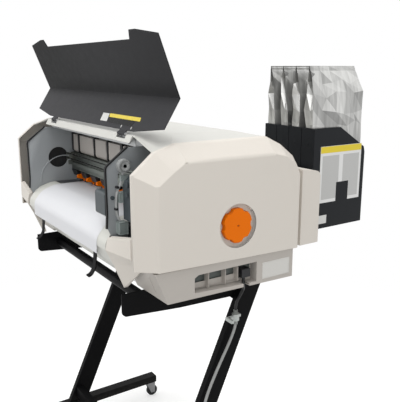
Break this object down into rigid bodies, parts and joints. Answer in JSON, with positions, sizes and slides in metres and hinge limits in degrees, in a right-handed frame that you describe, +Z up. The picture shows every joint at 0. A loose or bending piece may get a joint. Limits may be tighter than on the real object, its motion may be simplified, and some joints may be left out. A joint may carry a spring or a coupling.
{
  "type": "large format printer",
  "caption": "Wide inkjet printer with an open black hood, loaded media, a side hand knob, an ink pouch rack behind and a leaning stand on casters.",
  "frame": {"origin": "centre of the whole printer's footprint, on the floor under the casters", "axes": "+X towards the knob side, -Y to the front where the media leaves, +Z up"},
  "size_m": [1.16, 1.026, 1.7421],
  "materials": {
    "cover_white": "fine-textured moulded cover",
    "top_white": "pale moulded cover",
    "hood_black": "matt black powder coat",
    "wall_grey": "grey paint on sheet steel",
    "gasket_rubber": "black rubber edge strip",
    "frame_steel": "zinc-plated sheet",
    "beam_aluminium": "anodised extrusion",
    "duct_grey": "warm grey moulding",
    "black_plastic": "black moulding",
    "dark_plastic": "dark grey moulding",
    "orange_plastic": "orange moulding",
    "steel": "ground steel",
    "belt_rubber": "toothed belt",
    "roller_rubber": "pinch roller rubber",
    "platen_grey": "dark anodised platen",
    "guide_white": "pale guide sheet",
    "media_white": "smooth white film",
    "board_green": "circuit board",
    "zinc": "zinc-plated case",
    "rack_black": "black powder coat",
    "foil": "creased silver foil laminate",
    "fitting_metal": "turned fitting",
    "stand_black": "satin black powder coat",
    "hose_black": "waste hose",
    "clear_plastic": "translucent moulding",
    "bottle_white": "natural polyethylene",
    "caster_metal": "zinc-plated pressing",
    "caster_tyre": "hard rubber tread"
  },
  "bodies": {
    "chassis": {"right_side_cover": "cover_white", "left_side_cover": "cover_white", "right_base_cover": "cover_white", "left_base_cover": "cover_white", "front_covers": "cover_white", "top_cover": "top_white", "hood_pivots": "steel", "rear_housing": "cover_white", "front_apron": "guide_white", "inner_walls": "wall_grey", "hood_gaskets": "gasket_rubber", "base_frame": "frame_steel", "upper_panel": "frame_steel", "duct_panels": "duct_grey", "duct_straps": "black_plastic", "rail_beam": "beam_aluminium", "timing_belt": "belt_rubber", "drive_motors": "black_plastic", "feed_belt": "belt_rubber", "platen": "platen_grey", "front_guide": "guide_white", "media_sheet": "media_white", "cap_station": "black_plastic", "main_board": "board_green", "power_supply": "zinc", "power_inlet": "black_plastic", "cover_screws": "steel", "ink_rack": "rack_black", "ink_pouches": "foil", "ink_fittings": "fitting_metal", "rack_bracket": "rack_black", "right_leg_frame": "stand_black", "left_leg_frame": "stand_black", "cross_tubes": "stand_black", "hook_arms": "stand_black", "drain_line": "hose_black", "stopcock": "clear_plastic", "waste_bottle": "bottle_white"},
    "hood": {"hood": "hood_black"},
    "feed": {"feed_roller": "steel"},
    "knob": {"knob_shaft": "steel", "side_knob": "orange_plastic"},
    "pinch": {"pinch_levers": "orange_plastic"},
    "pinch_wheels": {"pinch_rollers": "roller_rubber"},
    "release": {"release_lever": "dark_plastic"},
    "carriage": {"carriage": "dark_plastic", "printheads": "steel"},
    "left_pulley": {"left_drive_pulley": "steel"},
    "right_pulley": {"right_drive_pulley": "steel"},
    "cap": {"head_cap": "gasket_rubber"},
    "switch": {"power_switch": "black_plastic"},
    "cock": {"stopcock_lever": "clear_plastic"},
    "fork_1": {"caster_fork_1": "caster_metal"},
    "wheel_1": {"caster_wheel_1": "caster_tyre"},
    "fork_2": {"caster_fork_2": "caster_metal"},
    "wheel_2": {"caster_wheel_2": "caster_tyre"},
    "fork_3": {"caster_fork_3": "caster_metal"},
    "wheel_3": {"caster_wheel_3": "caster_tyre"},
    "fork_4": {"caster_fork_4": "caster_metal"},
    "wheel_4": {"caster_wheel_4": "caster_tyre"}
  },
  "joints": [
    {"name": "hood_hinge", "type": "hinge", "parent": "chassis", "child": "hood", "pos_m": [0, -0.384, 1.434], "axis": [1, 0, 0], "range_deg": [0, 160]},
    {"name": "feed_spin", "type": "hinge", "parent": "chassis", "child": "feed", "pos_m": [0, -0.273, 1.16], "axis": [1, 0, 0], "continuous": true},
    {"name": "knob_spin", "type": "hinge", "parent": "chassis", "child": "knob", "pos_m": [0, -0.136, 1.16], "axis": [1, 0, 0], "continuous": true},
    {"name": "release_swing", "type": "hinge", "parent": "chassis", "child": "release", "pos_m": [0, -0.46, 1.25], "axis": [1, 0, 0], "range_deg": [-30, 0]},
    {"name": "pinch_lift", "type": "hinge", "parent": "chassis", "child": "pinch", "pos_m": [0, -0.251, 1.204], "axis": [1, 0, 0], "range_deg": [-9, 0]},
    {"name": "pinch_spin", "type": "hinge", "parent": "pinch", "child": "pinch_wheels", "pos_m": [0, -0.273, 1.17855], "axis": [1, 0, 0], "continuous": true},
    {"name": "carriage_slide", "type": "slide", "parent": "chassis", "child": "carriage", "axis": [-1, 0, 0], "range_m": [0, 0.745]},
    {"name": "left_pulley_spin", "type": "hinge", "parent": "chassis", "child": "left_pulley", "pos_m": [-0.492, -0.311, 1.274], "axis": [0, 1, 0], "continuous": true},
    {"name": "right_pulley_spin", "type": "hinge", "parent": "chassis", "child": "right_pulley", "pos_m": [0.492, -0.311, 1.274], "axis": [0, 1, 0], "continuous": true},
    {"name": "cap_lift", "type": "slide", "parent": "chassis", "child": "cap", "axis": [0, 0, 1], "range_m": [0, 0.0022]},
    {"name": "switch_rock", "type": "hinge", "parent": "chassis", "child": "switch", "pos_m": [-0.39, 0.227, 1.0895], "axis": [1, 0, 0], "range_deg": [0, 14]},
    {"name": "cock_turn", "type": "hinge", "parent": "chassis", "child": "cock", "pos_m": [0.4423, -0.037, 0.783], "axis": [0, 1, 0], "range_deg": [0, 90]},
    {"name": "swivel_1", "type": "hinge", "parent": "chassis", "child": "fork_1", "pos_m": [0.416, -0.479, 0.078], "axis": [0, 0, 1], "continuous": true},
    {"name": "roll_1", "type": "hinge", "parent": "fork_1", "child": "wheel_1", "pos_m": [0.416, -0.459, 0.027], "axis": [1, 0, 0], "continuous": true},
    {"name": "swivel_2", "type": "hinge", "parent": "chassis", "child": "fork_2", "pos_m": [0.416, 0.068, 0.078], "axis": [0, 0, 1], "continuous": true},
    {"name": "roll_2", "type": "hinge", "parent": "fork_2", "child": "wheel_2", "pos_m": [0.416, 0.088, 0.027], "axis": [1, 0, 0], "continuous": true},
    {"name": "swivel_3", "type": "hinge", "parent": "chassis", "child": "fork_3", "pos_m": [-0.416, -0.479, 0.078], "axis": [0, 0, 1], "continuous": true},
    {"name": "roll_3", "type": "hinge", "parent": "fork_3", "child": "wheel_3", "pos_m": [-0.416, -0.459, 0.027], "axis": [1, 0, 0], "continuous": true},
    {"name": "swivel_4", "type": "hinge", "parent": "chassis", "child": "fork_4", "pos_m": [-0.416, 0.068, 0.078], "axis": [0, 0, 1], "continuous": true},
    {"name": "roll_4", "type": "hinge", "parent": "fork_4", "child": "wheel_4", "pos_m": [-0.416, 0.088, 0.027], "axis": [1, 0, 0], "continuous": true}
  ],
  "couplings": [
    {"joint": "knob_spin", "follows": "feed_spin", "ratio": 1.5},
    {"joint": "pinch_spin", "follows": "feed_spin", "ratio": -1.9833},
    {"joint": "pinch_lift", "follows": "release_swing", "ratio": 0.3},
    {"joint": "left_pulley_spin", "follows": "carriage_slide", "rad_per_m": 100},
    {"joint": "right_pulley_spin", "follows": "carriage_slide", "rad_per_m": 100}
  ]
}
